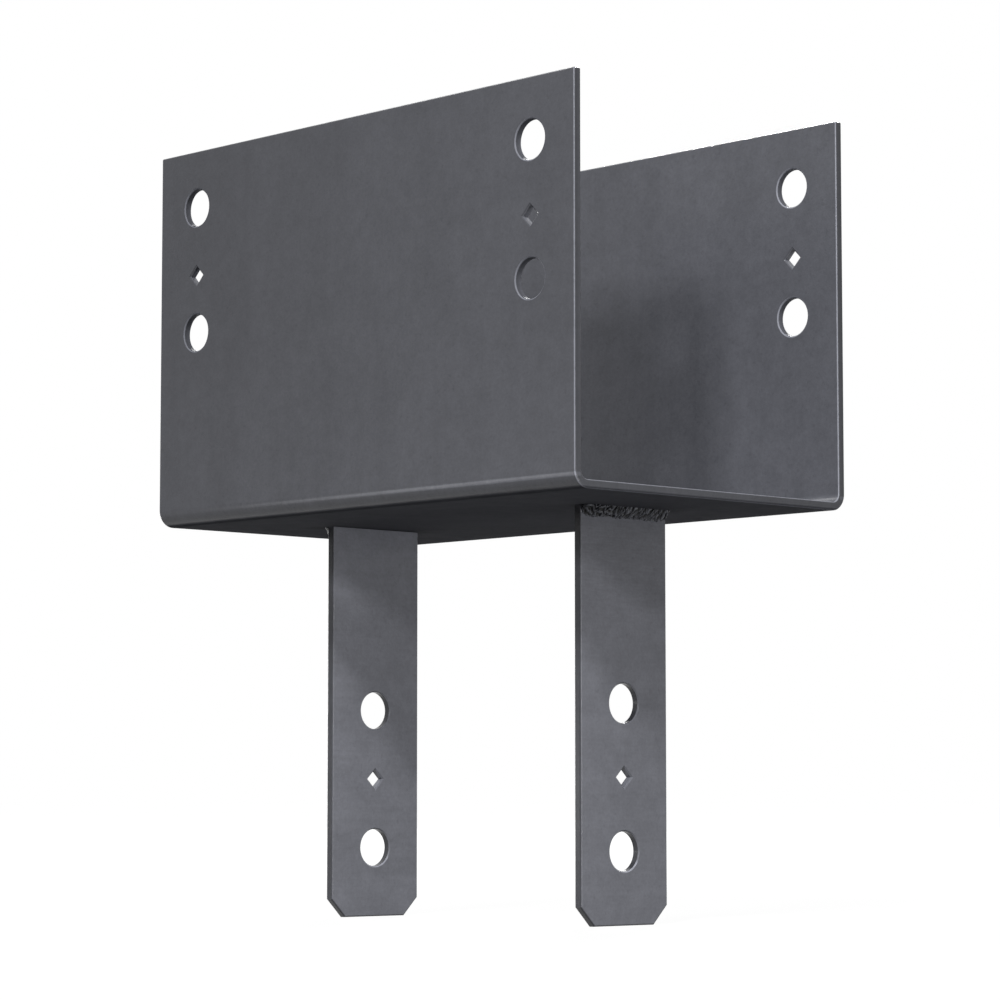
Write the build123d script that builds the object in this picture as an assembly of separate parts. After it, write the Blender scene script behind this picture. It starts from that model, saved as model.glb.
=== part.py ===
from build123d import *
import math
import os

# Column cap for an eight by eight timber beam on an eight by eight timber post.
# All sizes are millimetres. X runs along the beam, Y across it and Z up.
# The origin is the centre of the channel's underside, which is the face that lands on the post.

# The channel that the beam lies in, folded from one plate
plate = 4.554
beam_clear_width = 190.5
wall_inside_height = 203.2
channel_length = 330.2
bend_inside_radius = 4.554

# Its holes, in a column near each end of each wall
wall_bolt_hole = 20.64
wall_bolt_from_end = 31.75
wall_bolt_from_top = 31.75
wall_bolt_spacing = 69.85
wall_nail_above_bolt = 31.75

# The two straps that run down opposite sides of the post
post_clear_width = 190.5
strap_plate = 4.554
strap_width = 63.5
strap_length = 215.9
strap_corner_cut = 10.0

# Their holes, in a column down the middle of each strap
strap_bolt_hole = 20.64
strap_bolt_from_seat = 101.6
strap_bolt_spacing = 76.2

# Square nail holes that stand on a corner, the rolled-off plate edges and the bevel round each hole
nail_hole_side = 7.6
edge_round = 0.9
rim_bevel = 0.7

# The corner welds that join the straps' outer faces to the channel
weld_leg = 6.35
weld_crown = 1.0
weld_ripple_pitch = 4.2
weld_ripple_height = 0.6
weld_ripple_lean = 0.68
weld_unevenness = 0.35
weld_end_taper = 1.8
weld_end_gap = 0.2

# Levels and places that follow from the sizes above
wall_top = plate + wall_inside_height
upper_bolt_level = wall_top - wall_bolt_from_top
lower_bolt_level = upper_bolt_level - wall_bolt_spacing
wall_hole_place = channel_length / 2 - wall_bolt_from_end
strap_inner_face = post_clear_width / 2
strap_outer_face = strap_inner_face + strap_plate


def channel_section():
    """The U seen along the beam: a rounded outer outline less a rounded inner one."""
    outer = Pos(0, wall_top / 2) * Rectangle(beam_clear_width + 2 * plate, wall_top)
    outer = fillet(outer.vertices().group_by(Axis.Y)[0], bend_inside_radius + plate)
    inner = Pos(0, plate + wall_inside_height / 2) * Rectangle(beam_clear_width, wall_inside_height)
    inner = fillet(inner.vertices().group_by(Axis.Y)[0], bend_inside_radius)
    return outer - inner


def wall_cutters():
    """Bars that lie across the channel and cut each hole through both walls in one stroke."""
    reach = beam_clear_width + 4 * plate
    round_bar = Rot(90, 0, 0) * Cylinder(wall_bolt_hole / 2, reach)
    square_bar = Rot(0, 45, 0) * Box(nail_hole_side, reach, nail_hole_side)
    bars = []
    for place in (-wall_hole_place, wall_hole_place):
        bars.append(Pos(place, 0, lower_bolt_level) * round_bar)
        bars.append(Pos(place, 0, upper_bolt_level) * round_bar)
        bars.append(Pos(place, 0, lower_bolt_level + wall_nail_above_bolt) * square_bar)
    return bars


def hole_rims(faces):
    """Every edge where a hole breaks out through one of the faces."""
    rims = ShapeList()
    for face in faces:
        for outline in face.inner_wires():
            rims += outline.edges()
    return rims


def beam_channel():
    """The folded plate, with every free edge rolled off and each hole bevelled on both sides."""
    channel = extrude(Plane.YZ * channel_section(), channel_length / 2, both=True)
    channel -= wall_cutters()
    channel = chamfer(hole_rims(channel.faces().filter_by(Axis.Y)), rim_bevel)
    by_length = channel.edges().group_by(Axis.X)
    free_edges = by_length[0] + by_length[-1] + channel.edges().group_by(Axis.Z)[-1]
    return fillet(free_edges, edge_round)


def strap_outline():
    """The strap's face: a long rectangle with its two lower corners cut off and three holes."""
    face = Pos(0, -strap_length / 2) * Rectangle(strap_width, strap_length)
    face = chamfer(face.vertices().group_by(Axis.Y)[0], strap_corner_cut)
    lower_bolt = strap_bolt_from_seat + strap_bolt_spacing
    for depth in (strap_bolt_from_seat, lower_bolt):
        face -= Pos(0, -depth) * Circle(strap_bolt_hole / 2)
    nail_depth = (strap_bolt_from_seat + lower_bolt) / 2
    return face - Pos(0, -nail_depth) * Rot(0, 0, 45) * Rectangle(nail_hole_side, nail_hole_side)


def post_strap():
    """The strap on the +X side of the post, square where it meets the channel and rolled off elsewhere."""
    strap = extrude(Plane.YZ.offset(strap_inner_face) * strap_outline(), strap_plate)
    strap = chamfer(hole_rims(strap.faces().filter_by(Axis.X)), rim_bevel)
    top = strap.edges().group_by(Axis.Z)[-1]
    free_edges = ShapeList()
    for face in strap.faces().filter_by(Axis.X):
        free_edges += [edge for edge in face.outer_wire().edges() if edge not in top]
    return fillet(free_edges, edge_round)


def weld_rings(length, crest):
    """Places along the bead and their radii: each ripple climbs slowly to its crest and drops off quickly."""
    count = max(3, round(length / weld_ripple_pitch))
    pitch = length / count
    valley = crest - weld_ripple_height
    rings = [(-length / 2, valley - weld_end_taper)]
    for ripple in range(count):
        swell = weld_unevenness * weld_ripple_height * math.sin(2.4 * ripple)
        top = -length / 2 + (ripple + weld_ripple_lean) * pitch
        rings.append((top, crest - weld_unevenness * weld_ripple_height + swell))
        foot = -length / 2 + (ripple + 1) * pitch
        rings.append((foot, valley + swell / 2))
    rings[-1] = (length / 2, valley - weld_end_taper)
    return rings


def strap_weld():
    """The bead in the corner between the +X strap's outer face and the channel's underside.

    Its section is an arc that bulges past the straight line between the two legs. The rings turn
    about the centre of that arc, which lies behind the corner, and the corner then trims them.
    """
    half_chord = weld_leg / math.sqrt(2)
    crest = (half_chord**2 + weld_crown**2) / (2 * weld_crown)
    behind_corner = (crest - weld_crown - half_chord) / math.sqrt(2)
    length = strap_width - 2 * (edge_round + weld_end_gap)
    outline = [(-length / 2, 0)] + weld_rings(length, crest) + [(length / 2, 0)]
    centre = (strap_outer_face - behind_corner, 0, behind_corner)
    along = Plane(centre, x_dir=(0, 1, 0), z_dir=(1, 0, 0))
    bead = revolve(along * make_face(Polyline(*outline, close=True)), Axis(centre, (0, 1, 0)), 360)
    size = 2 * crest
    corner = Pos(strap_outer_face + size / 2, 0, -size / 2) * Box(size, strap_width, size)
    return bead & corner


def main():
    os.makedirs("parts", exist_ok=True)
    strap = post_strap()
    weld = strap_weld()
    turned = Rot(0, 0, 180)
    export_step(beam_channel(), "parts/beam_channel.step")
    export_step(strap, "parts/post_strap_front.step")
    export_step(turned * strap, "parts/post_strap_back.step")
    export_step(weld, "parts/weld_front.step")
    export_step(turned * weld, "parts/weld_back.step")


if __name__ == "__main__":
    main()
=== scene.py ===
# %% [markdown]
# # A steel column cap in dark satin paint
#
# A column cap joins a timber beam to the post below it. A folded channel cradles
# the beam, two flat straps hang under the channel and grip the post, and a weld
# bead runs along the top of each strap. Holes take bolts and nails.
#
# The plates arrive as an exact model, and this file dresses them: it gives them
# their paint, builds the two weld beads with all their ripples, and sets up the
# studio. Everything is in metres, and Z points up.

# %% Open the model
import math
import bpy
import numpy as np
from mathutils import Matrix, Vector


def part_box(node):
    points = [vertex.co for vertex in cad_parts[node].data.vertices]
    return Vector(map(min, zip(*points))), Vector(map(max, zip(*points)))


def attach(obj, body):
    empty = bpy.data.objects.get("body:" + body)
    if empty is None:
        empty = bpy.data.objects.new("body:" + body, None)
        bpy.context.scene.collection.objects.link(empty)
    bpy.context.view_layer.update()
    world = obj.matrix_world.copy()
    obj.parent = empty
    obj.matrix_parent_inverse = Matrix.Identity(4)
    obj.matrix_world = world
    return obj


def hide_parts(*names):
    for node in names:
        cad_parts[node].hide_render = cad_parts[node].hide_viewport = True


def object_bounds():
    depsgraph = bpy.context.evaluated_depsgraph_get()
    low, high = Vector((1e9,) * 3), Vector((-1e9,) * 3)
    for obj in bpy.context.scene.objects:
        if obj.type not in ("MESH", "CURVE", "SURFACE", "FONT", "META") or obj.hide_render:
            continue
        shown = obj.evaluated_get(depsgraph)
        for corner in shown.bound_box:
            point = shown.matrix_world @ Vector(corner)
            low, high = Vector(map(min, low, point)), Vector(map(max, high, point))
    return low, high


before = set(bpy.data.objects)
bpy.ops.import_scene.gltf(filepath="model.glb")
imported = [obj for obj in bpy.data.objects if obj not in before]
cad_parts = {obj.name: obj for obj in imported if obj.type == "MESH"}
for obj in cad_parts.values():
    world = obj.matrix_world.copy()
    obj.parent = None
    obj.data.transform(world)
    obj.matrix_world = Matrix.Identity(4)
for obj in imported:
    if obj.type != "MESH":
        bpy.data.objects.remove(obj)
model_low, model_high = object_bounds()
print("solids in the model:", sorted(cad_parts))
print("size in mm:", [round(1000 * (b - a), 1) for a, b in zip(model_low, model_high)])

# %% [markdown]
# ## The camera
#
# The photograph was taken from just above the floor, with the lens tipped up by
# about five degrees, so we look at the underside of the channel and still see
# into it. A camera can be aimed with a constraint or by typing angles. Here its
# three axes are worked out from a compass turn and a rise, because those two
# angles and the position are what a photograph can be measured for.

# %% Place the camera
camera_place = Vector((1.31517, -1.23543, -0.15125))
camera_turn = math.radians(43.344)
camera_rise = math.radians(5.126)


def axes_of_view(turn, rise):
    """Forward leans up by rise, right is level, and up is square to both."""
    forward = Vector((-math.cos(turn) * math.cos(rise),
                      math.sin(turn) * math.cos(rise), math.sin(rise)))
    right = forward.cross(Vector((0, 0, 1))).normalized()
    return right, right.cross(forward), forward


right, up, forward = axes_of_view(camera_turn, camera_rise)
lens = bpy.data.cameras.new("camera")
lens.lens = 120.27
lens.sensor_width = 36
lens.clip_end = 60
camera = bpy.data.objects.new("camera", lens)
aim = Matrix((right, up, -forward)).transposed().to_4x4()
camera.matrix_world = Matrix.Translation(camera_place) @ aim
bpy.context.scene.collection.objects.link(camera)
bpy.context.scene.camera = camera
print("camera stands", round(camera_place.length, 2), "m from the seat")

# %% [markdown]
# ## Tools for making a paint
#
# A material is a tree of nodes, and building one by hand takes the same few
# steps again and again. So the steps become small functions. The first one makes
# an empty material. The next turns any value into another range with a smooth
# step, which is all that a mask needs. The others join values and tint a colour.

# %% Start a material
def new_material(name):
    """An empty material with its output and a Principled shader."""
    material = bpy.data.materials.new(name)
    material.use_nodes = True
    tree = material.node_tree
    tree.nodes.clear()
    output = tree.nodes.new("ShaderNodeOutputMaterial")
    shader = tree.nodes.new("ShaderNodeBsdfPrincipled")
    tree.links.new(shader.outputs["BSDF"], output.inputs["Surface"])
    return material, tree, shader


print("materials start from a Principled shader")

# %% Turn, join and tint values
def spread(tree, socket, start, end, low, high):
    """A value that goes smoothly from low to high as the socket goes from start to end."""
    ramp = tree.nodes.new("ShaderNodeMapRange")
    ramp.interpolation_type = "SMOOTHSTEP"
    tree.links.new(socket, ramp.inputs["Value"])
    ramp.inputs["From Min"].default_value = start
    ramp.inputs["From Max"].default_value = end
    ramp.inputs["To Min"].default_value = low
    ramp.inputs["To Max"].default_value = high
    return ramp.outputs["Result"]


def combine(tree, operation, first, *others):
    """Math nodes in a row: the first value with the next, the result with the one after it."""
    for other in others:
        node = tree.nodes.new("ShaderNodeMath")
        node.operation = operation
        tree.links.new(first, node.inputs[0])
        tree.links.new(other, node.inputs[1])
        first = node.outputs[0]
    return first


def band(tree, socket, start, full, fade, end):
    """1 where the socket is between full and fade, falling smoothly to 0 at start and end."""
    return combine(tree, "MULTIPLY", spread(tree, socket, start, full, 0.0, 1.0),
                   spread(tree, socket, fade, end, 1.0, 0.0))


def shade(tree, colour, amount):
    """The colour made lighter or darker by the amount, which is 1 where it stays as it is."""
    node = tree.nodes.new("ShaderNodeVectorMath")
    node.operation = "SCALE"
    node.inputs[0].default_value = colour
    tree.links.new(amount, node.inputs["Scale"])
    return node.outputs["Vector"]


print("a mask is a smooth step, and masks are multiplied together")

# %% [markdown]
# ## Noise and relief
#
# Satin paint on rolled steel is never one flat colour. It has soft patches where
# the coat is thicker, long faint streaks from rolling and wiping, small dark
# specks, and a fine skin like that of an orange. Each of these is one noise
# texture, stretched or squeezed by a Mapping node, and all of them read Object
# coordinates, so the pattern is fixed to the steel. A picture could be wrapped
# round the plates instead, but noise has no seams and needs no unwrapping.

# %% Noise on the steel, and bump
def noise(tree, scale, detail, low, high, start=0.3, end=0.7, stretch=(1, 1, 1)):
    """Noise on Object coordinates, its range start..end turned into low..high.

    A large stretch along an axis squeezes the pattern along it, a small one draws it out."""
    place = tree.nodes.new("ShaderNodeTexCoord")
    mapping = tree.nodes.new("ShaderNodeMapping")
    mapping.inputs["Scale"].default_value = stretch
    tree.links.new(place.outputs["Object"], mapping.inputs["Vector"])
    pattern = tree.nodes.new("ShaderNodeTexNoise")
    pattern.inputs["Scale"].default_value = scale
    pattern.inputs["Detail"].default_value = detail
    pattern.inputs["Roughness"].default_value = 0.6
    tree.links.new(mapping.outputs["Vector"], pattern.inputs["Vector"])
    return spread(tree, pattern.outputs["Fac"], start, end, low, high)


def relief(tree, shader, height, depth):
    """Bump from a height between 0 and 1 that stands for the depth in metres."""
    bump = tree.nodes.new("ShaderNodeBump")
    bump.inputs["Strength"].default_value = 1.0
    bump.inputs["Distance"].default_value = depth
    tree.links.new(height, bump.inputs["Height"])
    tree.links.new(bump.outputs["Normal"], shader.inputs["Normal"])


print("noise reads Object coordinates")

# %% [markdown]
# ## One recipe for both coats
#
# The steel is dark grey with a touch of blue. The streaks stand upright on the
# walls of the channel and lie level on the straps, so the two get the same
# recipe with a different stretch. Five layers of noise are multiplied together,
# from patches as wide as a thumb down to grain. Each one alone is hardly seen,
# and together they keep the coat from looking like plastic.

# %% Write the recipe
plate_shine = 0.2
skin_depth = 0.00003


def plate_paint(name, streak_stretch):
    """What both coats share: tone = patches x mottle x streaks x specks x grain, with gloss and
    a fine skin for the bump."""
    material, tree, shader = new_material(name)
    patches = noise(tree, 38, 4, 0.965, 1.035, start=0.35, end=0.65)
    mottle = noise(tree, 130, 3, 0.955, 1.045)
    streaks = noise(tree, 30, 3, 0.955, 1.045, stretch=streak_stretch)
    specks = noise(tree, 330, 3, 0.91, 1.0, start=0.30, end=0.42)
    grain = noise(tree, 560, 2, 0.955, 1.04)
    tone = combine(tree, "MULTIPLY", patches, mottle, streaks, specks, grain)
    shader.inputs["Specular IOR Level"].default_value = plate_shine
    skin = noise(tree, 900, 3, 0.0, 1.0, start=0.2, end=0.8)
    gloss = noise(tree, 70, 4, 0.18, 0.25)
    return material, tree, shader, tone, gloss, skin


print("recipe written, roughness 0.18 to 0.25")

# %% [markdown]
# ## Where on the plate
#
# The colour also changes from place to place, and much of that is painted light and shade.
# The sheared end faces are darker. Painted shade lies in the bores of the holes, on the outer
# faces and on the underside, deepest beside each weld. Painted light brightens the cut plate,
# the foot of the near wall and the channel towards +X. Painted highlights run along the rounded
# edges, round the hole bevels and along each outer bend. Each of these is a mask: a smooth step
# on one Object coordinate, or on the distance from the middle or from a hole's axis. The masks
# could be painted on a picture by hand, but steps stay sharp from close up and need no
# unwrapping.

# %% Measure places in the tree
def size_of(tree, socket):
    """The size of one coordinate, whichever side of the middle it is on."""
    node = tree.nodes.new("ShaderNodeMath")
    node.operation = "ABSOLUTE"
    tree.links.new(socket, node.inputs[0])
    return node.outputs[0]


def places(tree):
    """The three Object coordinates, and the distances from the middle along X and Y."""
    place = tree.nodes.new("ShaderNodeTexCoord")
    axes = tree.nodes.new("ShaderNodeSeparateXYZ")
    tree.links.new(place.outputs["Object"], axes.inputs[0])
    x, y, z = (axes.outputs[name] for name in "XYZ")
    return x, y, z, size_of(tree, x), size_of(tree, y)


def from_axis(tree, sideways, height, centre, level):
    """Distance from a hole's axis: the length of (sideways - centre, height - level)."""
    flat = tree.nodes.new("ShaderNodeCombineXYZ")
    tree.links.new(sideways, flat.inputs["X"])
    tree.links.new(height, flat.inputs["Z"])
    away = tree.nodes.new("ShaderNodeVectorMath")
    away.operation = "DISTANCE"
    away.inputs[1].default_value = (centre, 0, level)
    tree.links.new(flat.outputs["Vector"], away.inputs[0])
    return away.outputs["Value"]


print("places are read from Object coordinates")

# %% [markdown]
# ## Masks of the channel
#
# The channel needs four groups of masks, and most of them paint light and shade. The broad
# faces get painted light and shade by which way they look. The end faces are sheared and
# darker, with a painted highlight on the rounded edge. The plate's thickness shows in the holes
# and along the top, where painted light brightens it. And the two bends have a painted
# highlight on the outside. Each function multiplies its own group, so that one group can be
# changed without a look at the others.

# %% Broad faces and underside
underside = (0.0002, 0.0022)
weld_from, weld_to = (0.080, 0.094), (0.106, 0.122)
weld_end = (0.030, 0.044)
# How dark the painted shade on the underside beside each weld is.
weld_shade_tone = 0.66


def face_tones(tree, x, y, z, along, across):
    """Painted light towards +X and at the foot of the wall at -Y, painted shade on the outer
    faces and the underside, deepest beside a weld, in a box in |X|, |Y| and Z with soft sides."""
    # Painted light that grows towards +X, and painted shade on the outer faces.
    lighter = spread(tree, x, -0.165, 0.165, 0.86, 1.13)
    outer = spread(tree, across, 0.0962, 0.0990, 1.0, 0.78)
    # Painted light at the foot of the near wall, where the low lamp glows.
    painted_foot_light = combine(tree, "MINIMUM", spread(tree, z, 0.0, 0.11, 1.09, 1.0),
                        spread(tree, y, -0.0990, -0.0962, 1.09, 1.0))
    # Painted shade on the underside.
    below = spread(tree, z, *underside, 0.71, 1.0)
    # Deeper painted shade on the underside beside each weld, where the strap and bead shade it.
    weld_shade = combine(tree, "MAXIMUM", spread(tree, along, *weld_to, weld_shade_tone, 1.0),
                   spread(tree, along, *weld_from, 1.0, weld_shade_tone),
                   spread(tree, across, *weld_end, weld_shade_tone, 1.0),
                   spread(tree, z, *underside, weld_shade_tone, 1.0))
    return combine(tree, "MULTIPLY", lighter, outer, painted_foot_light, below, weld_shade)


print("underside begins below", 1000 * underside[1], "mm")

# %% Sheared ends
end_face = (0.16475, 0.16505)


def end_tones(tree, y, along):
    """Darker end faces, more so on the far wall, inside a painted highlight 2.8 times lighter on
    the rounded edge. The second step of the highlight takes the line off the flat, as 2.8 x
    0.357 is about 1."""
    ends = spread(tree, along, *end_face, 1.0, 0.68)
    far_end = combine(tree, "MAXIMUM", spread(tree, along, *end_face, 1.0, 0.80),
                      spread(tree, y, 0.0, 0.085, 1.0, 0.80))
    # Painted highlight on the rounded edge of each end.
    edge_highlight = combine(tree, "MULTIPLY", spread(tree, along, 0.16420, 0.16450, 1.0, 2.8),
                    spread(tree, along, 0.16485, 0.16505, 1.0, 0.357))
    return combine(tree, "MULTIPLY", ends, far_end, edge_highlight)


print("end faces begin at", 1000 * end_face[0], "mm from the middle")

# %% Cut plate and bends
def thickness_tones(tree, x, z, along, across):
    """Painted light where the cut plate shows between its two faces, above the bends and short
    of the ends, and a painted highlight along each outer bend that fades towards -X."""
    # Painted light on the cut plate, in the holes and along the top.
    between = band(tree, across, 0.0955, 0.0959, 0.0991, 0.0995)
    inside = combine(tree, "MULTIPLY", between, spread(tree, along, 0.1635, 0.1642, 1.0, 0.0),
                     spread(tree, z, 0.0095, 0.0110, 0.0, 1.0))
    cut = spread(tree, inside, 0.0, 1.0, 1.0, 1.7)
    # Painted highlight along each outer bend, fading towards -X.
    painted_bend_highlight = combine(tree, "MULTIPLY", band(tree, z, 0.0052, 0.0064, 0.0070, 0.0084),
                     spread(tree, across, 0.0955, 0.0965, 0.0, 1.0),
                     spread(tree, x, -0.165, 0.10, 0.1, 1.0))
    bend_highlight_tone = spread(tree, painted_bend_highlight, 0.0, 1.0, 1.0, 1.7)
    return combine(tree, "MULTIPLY", cut, bend_highlight_tone)


print("cut plate and bends have their own tone")

# %% Holes in the walls
wall_hole_place = 0.13335
wall_hole_levels = (0.1760, 0.10615)
rim_outside = (0.0112, 0.0114)


def wall_hole_distance(tree, z, along):
    """Distance from the nearest bolt hole's axis in either wall."""
    return combine(tree, "MINIMUM", *(from_axis(tree, along, z, wall_hole_place, level)
                                      for level in wall_hole_levels))


def wall_hole_tones(tree, hole):
    """Painted shade in the bore, and a painted highlight on the bevel that the punch left round
    it.
    """
    # Painted shade in the bore and a painted highlight on the bevel round it.
    bore = spread(tree, hole, 0.01045, 0.01060, 0.62, 1.0)
    bevel = band(tree, hole, 0.01040, 0.01055, 0.01100, 0.01115)
    return combine(tree, "MULTIPLY", bore, spread(tree, bevel, 0.0, 1.0, 1.0, 2.6))


print("bolt holes at", [1000 * level for level in wall_hole_levels], "mm")

# %% [markdown]
# ## The two coats
#
# Now the groups come together. Shine and roughness need masks as well: at the
# low angle of this camera the underside would mirror the white floor and turn
# pale, and the small bevels round the holes would flash with the lamps. So both
# are made almost matt.

# %% Coat of the channel
channel_colour = (0.0960, 0.0985, 0.1125)


def channel_coat():
    """The shared recipe times all the masks, matt on the underside and round the holes."""
    material, tree, shader, tone, gloss, skin = plate_paint("channel_paint", (1.0, 1.0, 0.10))
    x, y, z, along, across = places(tree)
    hole = wall_hole_distance(tree, z, along)
    tone = combine(tree, "MULTIPLY", tone, face_tones(tree, x, y, z, along, across),
                   end_tones(tree, y, along), thickness_tones(tree, x, z, along, across),
                   wall_hole_tones(tree, hole))
    shine = combine(tree, "MINIMUM", spread(tree, z, *underside, 0.05, plate_shine),
                    spread(tree, hole, *rim_outside, 0.04, plate_shine))
    matt = combine(tree, "MAXIMUM", spread(tree, z, *underside, 0.75, 0.0),
                   spread(tree, hole, *rim_outside, 0.35, 0.0))
    smooth = spread(tree, z, *underside, 0.0, 1.0)
    tree.links.new(shade(tree, channel_colour, tone), shader.inputs["Base Color"])
    tree.links.new(shine, shader.inputs["Specular IOR Level"])
    tree.links.new(combine(tree, "ADD", gloss, matt), shader.inputs["Roughness"])
    relief(tree, shader, combine(tree, "MULTIPLY", skin, smooth), skin_depth)
    return material


channel_paint = channel_coat()
print("channel paint has", len(channel_paint.node_tree.nodes), "nodes")

# %% Masks of a strap
strap_hole_levels = (-0.1016, -0.1778)


def strap_edge_tones(tree, z, across):
    """Painted shade on the sides, the foot and the cut corners. A cut is where |Y| - Z is
    constant.
    """
    # Painted shade on the sides, foot and cut corners, which take back the strap colour's
    # painted light.
    side = spread(tree, across, 0.03095, 0.03170, 1.0, 0.30)
    foot = spread(tree, z, -0.2157, -0.2150, 0.30, 1.0)
    corner = spread(tree, combine(tree, "SUBTRACT", across, z), 0.23635, 0.23745, 1.0, 0.30)
    return combine(tree, "MINIMUM", side, foot, corner)


def strap_hole_tones(tree, z, across):
    """Painted shade in the bores, and a painted highlight in an arc on the bevel under the lower
    one.
    """
    upper, lower = (from_axis(tree, across, z, 0, level) for level in strap_hole_levels)
    # Painted shade in the bores and a painted highlight on the bevel under the lower hole.
    bore = spread(tree, combine(tree, "MINIMUM", upper, lower), 0.01036, 0.01048, 0.30, 1.0)
    arc = combine(tree, "MULTIPLY", band(tree, lower, 0.01036, 0.01048, 0.01090, 0.01115),
                  spread(tree, z, -0.1850, -0.1810, 1.0, 0.0))
    return combine(tree, "MULTIPLY", bore, spread(tree, arc, 0.0, 1.0, 1.0, 1.9))


def strap_rows(tree, x, z):
    """Level rows, and short dashes that are strong only at the top of the front strap. A power
    below 1 brings a factor closer to 1, so it weakens the pattern."""
    rows = noise(tree, 260, 3, 0.97, 1.03, stretch=(1.0, 0.12, 1.0))
    dashes = noise(tree, 900, 2, 0.93, 1.06, stretch=(1.0, 0.15, 1.0))
    strength = combine(tree, "MINIMUM", spread(tree, x, -0.01, 0.01, 0.3, 0.8),
                       spread(tree, z, -0.07, -0.03, 0.3, 0.8))
    return combine(tree, "MULTIPLY", rows, combine(tree, "POWER", dashes, strength))


print("strap holes at", [1000 * level for level in strap_hole_levels], "mm")

# %% Coat of the straps
# The straps are painted lighter than the channel. This is painted light for the lamps on their
# front faces, and the edge masks take it back as painted shade.
painted_lit_strap_colour = (0.1640, 0.1680, 0.1915)


def strap_coat():
    """The recipe times the strap's masks, with painted light at -Y and at the top of the back
    strap.
    """
    material, tree, shader, tone, gloss, skin = plate_paint("strap_paint", (1.0, 0.12, 1.4))
    x, y, z, _, across = places(tree)
    # Painted light at -Y and at the top of the back strap.
    lighter = spread(tree, y, -0.032, 0.004, 1.10, 1.0)
    back_strap_top_light = combine(tree, "MINIMUM", spread(tree, x, -0.01, 0.01, 1.25, 1.0),
                   spread(tree, z, -0.060, -0.025, 1.0, 1.25))
    tone = combine(tree, "MULTIPLY", tone, strap_rows(tree, x, z),
                   strap_edge_tones(tree, z, across), strap_hole_tones(tree, z, across),
                   lighter, back_strap_top_light)
    tree.links.new(shade(tree, painted_lit_strap_colour, tone), shader.inputs["Base Color"])
    tree.links.new(gloss, shader.inputs["Roughness"])
    relief(tree, shader, skin, skin_depth)
    return material


strap_paint = strap_coat()
print("strap paint has", len(strap_paint.node_tree.nodes), "nodes")

# %% Paint the plates
for node, paint in [("beam_channel", channel_paint), ("post_strap_front", strap_paint),
                    ("post_strap_back", strap_paint)]:
    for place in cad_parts[node].material_slots:
        place.material = paint
    print("painted", node)

# %% [markdown]
# ## The weld beads
#
# A fillet weld fills the corner between two plates with melted steel. The welder
# moves on in small steps, so the bead is a row of overlapping ripples, each a
# crescent that curves back towards the start. It could be sculpted or displaced,
# but one formula is enough: a section carried along the bead, whose radius swells
# and falls with the ripples.

# %% Read the corner from the model
weld_low, weld_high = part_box("weld_front")
bead_length = weld_high.y - weld_low.y
bead_face = weld_low.x
bead_leg = min(weld_high.x - weld_low.x, weld_high.z - weld_low.z)
print("bead", round(1000 * bead_length, 1), "mm long")
print("its legs are", round(1000 * bead_leg, 2), "mm")

# %% Waves for everything uneven
def slow_waves(along, across, shortest, longest, seed):
    """A sum of waves with seeded lengths, slants and phases, between about -1 and 1."""
    rng = np.random.default_rng(seed)
    total = np.zeros_like(along)
    for _ in range(8):
        reach = rng.uniform(shortest, longest)
        slant, phase = rng.uniform(-2.0, 2.0), rng.uniform(0, 2 * math.pi)
        total += np.sin(2 * math.pi * along / reach + slant * across + phase)
    return total / 3


def rise(along, middle, width):
    """0 before the middle and 1 after it, with a straight slope of this width between."""
    return np.clip((along - middle) / width + 0.5, 0, 1)


print("waves are seeded, so each run gives the same bead")

# %% Ripples of a bead
ripple_pitch = 0.0032
ripple_lean = 0.0030
ripple_bow = 0.0009
ripple_wander = 0.0013
ripple_climb = 0.6


def bead_ripples(along, across, wander):
    """A saw that climbs for the first part of each pitch and drops for the rest.

    Its phase is the place along the bead, less a lean, plus a bow and a wander, which makes each
    ripple a ragged crescent."""
    phase = along - ripple_lean * across + ripple_bow * across**2 + ripple_wander * wander
    step = (phase / ripple_pitch) % 1.0
    return np.where(step < ripple_climb, step / ripple_climb, (1 - step) / (1 - ripple_climb))


def bead_crests(along, across, seed):
    """How high the skin stands at each place: 1 on a crest and 0 in a valley.

    Most of the bead has ripples. Its first 0.3, where the welder started, has strands that run
    along it, and its last 0.1, where the welder stopped, has knots. More knots and a finer grain
    lie over all of it."""
    wander = slow_waves(along, across, 0.003, 0.012, seed)
    ripples = bead_ripples(along, across, wander)
    strands = 0.5 + 0.5 * np.sin(8.5 * across + 2.2 * wander + 120 * along)
    started = rise(along, -0.20 * bead_length, 0.008)
    started = started * started * (3 - 2 * started)
    knots = slow_waves(along, across * 2, 0.0025, 0.0060, seed + 3)
    fine = slow_waves(along, across * 3, 0.0009, 0.0022, seed + 1)
    finish = rise(along, 0.40 * bead_length, 0.004)
    ripples = (1 - finish) * ripples + finish * (0.55 + 0.45 * knots)
    skin = started * ripples + (1 - started) * strands + 0.30 * knots + 0.14 * fine
    return np.clip(skin, 0, 1)


print("ripples every", 1000 * ripple_pitch, "mm")

# %% Section of a bead
bead_crown = 0.00095
ripple_depth = 0.00120
lump_depth = 0.0003
tip_length = 0.0035
tip_sink = 0.0030


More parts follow.
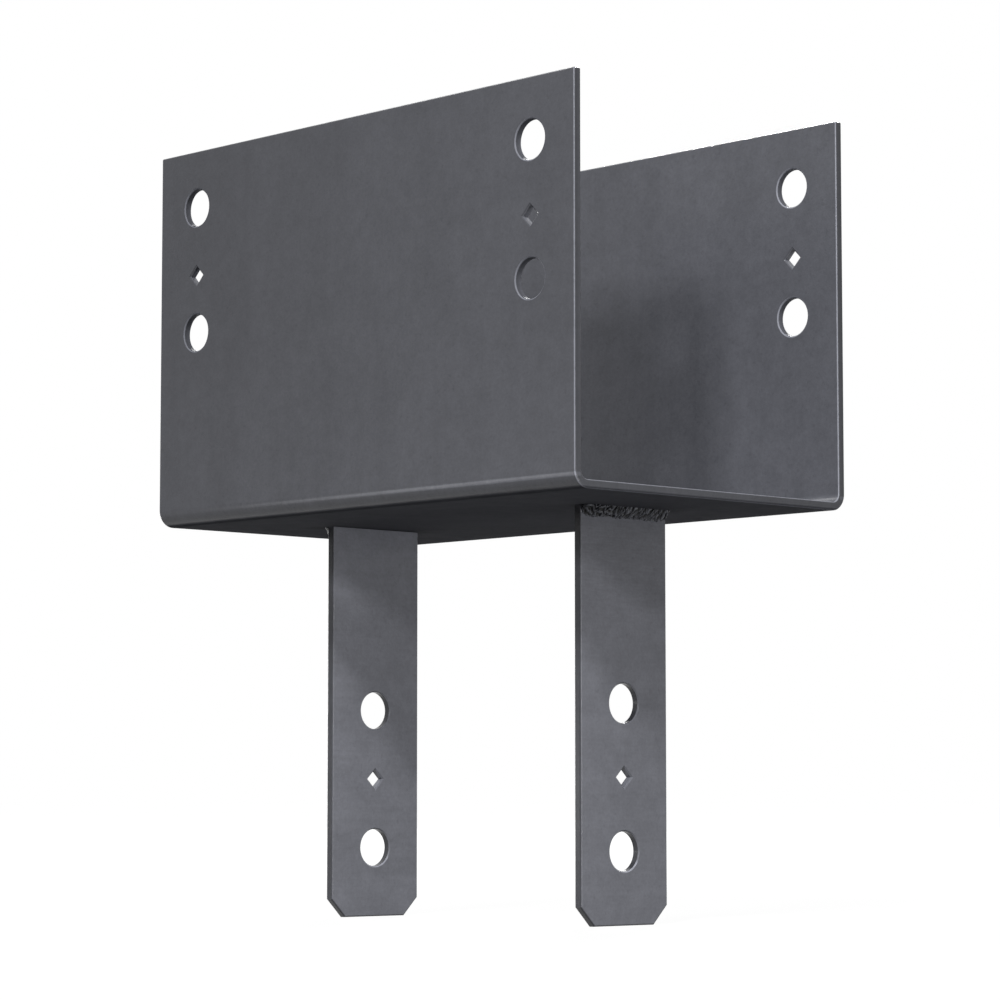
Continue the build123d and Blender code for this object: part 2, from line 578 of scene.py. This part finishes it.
def bead_surface(stations, points, seed):
    """Radius about the arc's centre behind the corner, at each place along and across the bead.

    It is the arc that joins the ends of the legs and bulges by the crown, less the depth of the
    ripples, less slow lumps, and it sinks at both ends as a quarter circle."""
    half_chord = bead_leg / math.sqrt(2)
    arc = (half_chord**2 + bead_crown**2) / (2 * bead_crown)
    behind = (arc - bead_crown - half_chord) / math.sqrt(2)
    along, across = np.meshgrid(np.linspace(-0.5, 0.5, stations) * bead_length,
                                np.linspace(-1, 1, points), indexing="ij")
    crests = bead_crests(along, across, seed)
    lumps = slow_waves(along, 0.5 * across, 0.007, 0.020, seed + 2)
    ends = np.clip((bead_length / 2 - np.abs(along)) / tip_length, 0, 1)
    radius = arc - ripple_depth * (1 - crests) - lump_depth * (1 - np.clip(lumps, -1, 1))
    radius -= tip_sink * (1 - np.sqrt(1 - (1 - ends) ** 2))
    return along, across, radius, behind, crests


print("the bead bulges by", 1000 * bead_crown, "mm")

# %% Points and faces of a bead
bead_root = 0.0003


def bead_points(stations, points, seed):
    """Turns the radius into points, and closes each section through the corner behind it."""
    along, across, radius, behind, crests = bead_surface(stations, points, seed)
    reach = np.arccos(np.clip(behind / radius, -1, 1)) - math.pi / 4
    angle = across * reach
    out = radius * np.cos(angle) / math.sqrt(2)
    side = radius * np.sin(angle) / math.sqrt(2)
    x = np.maximum(bead_face - behind + out + side, bead_face)
    z = np.minimum(behind - out + side, 0.0)
    back = np.full(stations, bead_face - bead_root)
    inside = np.full(stations, bead_root)
    corner = np.stack([np.stack([x[:, -1], along[:, 0], inside], axis=1),
                       np.stack([back, along[:, 0], inside], axis=1),
                       np.stack([back, along[:, 0], z[:, 0]], axis=1)], axis=1)
    rings = np.concatenate([np.stack([x, along, z], axis=2), corner], axis=1)
    heights = np.concatenate([crests, np.zeros((stations, 3))], axis=1)
    return rings, heights


def closed_tube(rings):
    """Quads between each ring and the next, and a fan over each end, so the skin is closed."""
    stations, points = rings.shape[:2]
    index = np.arange(stations * points).reshape(stations, points)
    beside = np.roll(index, -1, axis=1)
    quads = np.stack([index[:-1], index[1:], beside[1:], beside[:-1]], axis=2).reshape(-1, 4)
    first, last = stations * points, stations * points + 1
    start = np.stack([index[0], beside[0], np.full(points, first)], axis=1)
    end = np.stack([beside[-1], index[-1], np.full(points, last)], axis=1)
    middle = np.stack([rings[0].mean(axis=0), rings[-1].mean(axis=0)])
    vertices = np.concatenate([rings.reshape(-1, 3), middle])
    return vertices, quads.tolist() + start.tolist() + end.tolist()


print("a bead is a grid of rings along Y")

# %% Make both beads
bead_stations, bead_section_points = 520, 56


def make_bead(name, seed, turned):
    """The front bead as worked out, or turned half round about Z for the back one."""
    rings, heights = bead_points(bead_stations, bead_section_points, seed)
    vertices, faces = closed_tube(rings)
    if turned:
        vertices = vertices * (-1, -1, 1)
    mesh = bpy.data.meshes.new(name)
    mesh.from_pydata(vertices.tolist(), [], faces)
    mesh.validate()
    mesh.update()
    mesh.polygons.foreach_set("use_smooth", np.ones(len(mesh.polygons), dtype=bool))
    crest = mesh.attributes.new("crest", "FLOAT", "POINT")
    crest.data.foreach_set("value", np.append(heights.ravel(), (0.5, 0.5)).astype(np.float32))
    bead = bpy.data.objects.new(name, mesh)
    bpy.context.scene.collection.objects.link(bead)
    print(name, len(mesh.polygons), "faces")
    return bead


front_bead = make_bead("front_bead", 3, False)
back_bead = make_bead("back_bead", 11, True)
for bead, node in [(front_bead, "weld_front"), (back_bead, "weld_back")]:
    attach(bead, "root")
    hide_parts(node)

# %% [markdown]
# ## Paint over the weld
#
# Paint over a weld looks darker, because soot and spatter roughen it. The mesh carries the
# height of its own skin as an attribute named crest, so the paint knows a valley from a crest.
# The valleys are darkened, partly for the dirt they hold and partly as painted shade, and the
# crests are lightened as a painted highlight. Over that, a finer noise and more bump than on
# the plates are all it takes.

# %% Mix the weld paint
weld_colour = (0.066, 0.068, 0.078)
weld_paint, tree, shader = new_material("weld_paint")
crest = tree.nodes.new("ShaderNodeAttribute")
crest.attribute_name = "crest"
# Dirt and painted shade in the valleys, and a painted highlight on the crests.
height = spread(tree, crest.outputs["Fac"], 0.20, 0.95, 0.05, 1.90)
grime = noise(tree, 300, 4, 0.65, 1.15)
tree.links.new(shade(tree, weld_colour, combine(tree, "MULTIPLY", height, grime)),
               shader.inputs["Base Color"])
tree.links.new(noise(tree, 400, 3, 0.30, 0.50), shader.inputs["Roughness"])
shader.inputs["Specular IOR Level"].default_value = plate_shine
relief(tree, shader, noise(tree, 1100, 3, 0.0, 1.0, start=0.2, end=0.8), 0.00009)
for bead in (front_bead, back_bead):
    bead.data.materials.append(weld_paint)
print("weld paint ready")

# %% [markdown]
# ## Floor and background
#
# The photograph has a pure white background. Turning the lamps up until a grey
# floor burns out would burn out the steel too. Instead the floor and the world
# ask what kind of ray has arrived: rays from the camera, from gloss and through
# glass see white, and light that bounces between surfaces meets a plain floor.

# %% Ask for the kind of ray
def seen_ray(tree):
    """1 for camera, glossy and transmission rays, otherwise 0."""
    light_path = tree.nodes.new("ShaderNodeLightPath")
    return combine(tree, "MAXIMUM", light_path.outputs["Is Camera Ray"],
                   light_path.outputs["Is Glossy Ray"],
                   light_path.outputs["Is Transmission Ray"])


print("camera, glossy and transmission rays see white")

# %% Make the world
def white_world(name, fill):
    """A world that is white where it is seen and otherwise a dim even fill."""
    world = bpy.data.worlds.new(name)
    world.use_nodes = True
    tree = world.node_tree
    tree.nodes.clear()
    output = tree.nodes.new("ShaderNodeOutputWorld")
    white = tree.nodes.new("ShaderNodeBackground")
    white.inputs["Color"].default_value = (1, 1, 1, 1)
    dim = tree.nodes.new("ShaderNodeBackground")
    dim.inputs["Color"].default_value = (1, 1, 1, 1)
    dim.inputs["Strength"].default_value = fill
    mix = tree.nodes.new("ShaderNodeMixShader")
    tree.links.new(seen_ray(tree), mix.inputs["Fac"])
    tree.links.new(dim.outputs[0], mix.inputs[1])
    tree.links.new(white.outputs[0], mix.inputs[2])
    tree.links.new(mix.outputs[0], output.inputs["Surface"])
    return world


bpy.context.scene.world = white_world("studio", 0.01)
print("world ready")

# %% Lay the floor
def floor_sheet(name, half, height):
    """One square far wider than the view, level with the feet of the straps."""
    mesh = bpy.data.meshes.new(name)
    corners = np.array([(-1, -1), (1, -1), (1, 1), (-1, 1)]) * half
    mesh.from_pydata([(x, y, height) for x, y in corners.tolist()], [], [(0, 1, 2, 3)])
    sheet = bpy.data.objects.new(name, mesh)
    bpy.context.scene.collection.objects.link(sheet)
    return sheet


floor = floor_sheet("floor", 30, model_low.z)
print("floor at", round(1000 * model_low.z, 1), "mm")

# %% Paint the floor
floor_grey = (0.06, 0.06, 0.06, 1)
floor_white = bpy.data.materials.new("floor_white")
floor_white.use_nodes = True
tree = floor_white.node_tree
tree.nodes.clear()
output = tree.nodes.new("ShaderNodeOutputMaterial")
plain = tree.nodes.new("ShaderNodeBsdfDiffuse")
plain.inputs["Color"].default_value = floor_grey
glow = tree.nodes.new("ShaderNodeEmission")
place = tree.nodes.new("ShaderNodeTexCoord")
away = tree.nodes.new("ShaderNodeVectorMath")
away.operation = "LENGTH"
tree.links.new(place.outputs["Object"], away.inputs[0])
white = spread(tree, away.outputs["Value"], 0.35, 1.1, 0.95, 1.0)
tree.links.new(combine(tree, "MULTIPLY", seen_ray(tree), white), glow.inputs["Strength"])
both = tree.nodes.new("ShaderNodeAddShader")
tree.links.new(plain.outputs[0], both.inputs[0])
tree.links.new(glow.outputs[0], both.inputs[1])
tree.links.new(both.outputs[0], output.inputs["Surface"])
floor.data.materials.append(floor_white)
print("floor painted")

# %% [markdown]
# ## Lamps
#
# Two soft boxes do most of the work. The low key throws the soft-edged shadow of
# the near wall on to the far wall, and the high key throws the shadow of the
# channel down the straps. A low strip on the right brightens the faces of the
# straps and leaves the underside dark. Three weak lamps are there for their
# reflections alone: one by the camera for the rounded edges, one low and close on
# the left for the outer bend, and one high on the left for the inner bend. Two
# more stand behind, so that the cap can be looked at from every side, and hardly
# touch the faces that the camera sees.

# %% Hang the lamps
def soft_box(name, place, width, height, power):
    """A rectangular area lamp at a place, aimed at the middle of the seat."""
    data = bpy.data.lights.new(name, "AREA")
    data.shape = "RECTANGLE"
    data.size, data.size_y = width, height
    data.energy = power
    lamp = bpy.data.objects.new(name, data)
    lamp.location = place
    lamp.rotation_mode = "QUATERNION"
    lamp.rotation_quaternion = Vector(place).to_track_quat("Z", "Y")
    bpy.context.scene.collection.objects.link(lamp)
    print(name, "at", round(Vector(place).length, 2), "m")


soft_box("low_key", (2.235, -4.60, 2.03), 0.68, 0.68, 134)
soft_box("high_key", (2.63, -4.10, 4.48), 0.80, 0.80, 288)
soft_box("right_strip", (2.35, 1.00, -0.09), 0.50, 0.22, 18)
soft_box("edge_light", (1.85, -1.85, 0.44), 0.60, 0.65, 4)
soft_box("bend_light", (-0.40, -0.555, -0.15), 0.30, 0.12, 0.3)
soft_box("glint_light", (-1.72, -0.25, 1.95), 1.70, 0.28, 10)
soft_box("back_key", (-3.20, 3.90, 2.50), 1.20, 1.20, 330)
soft_box("back_strip", (-2.60, 0.70, -0.05), 0.60, 0.24, 6)
bpy.context.scene.view_settings.view_transform = "Standard"
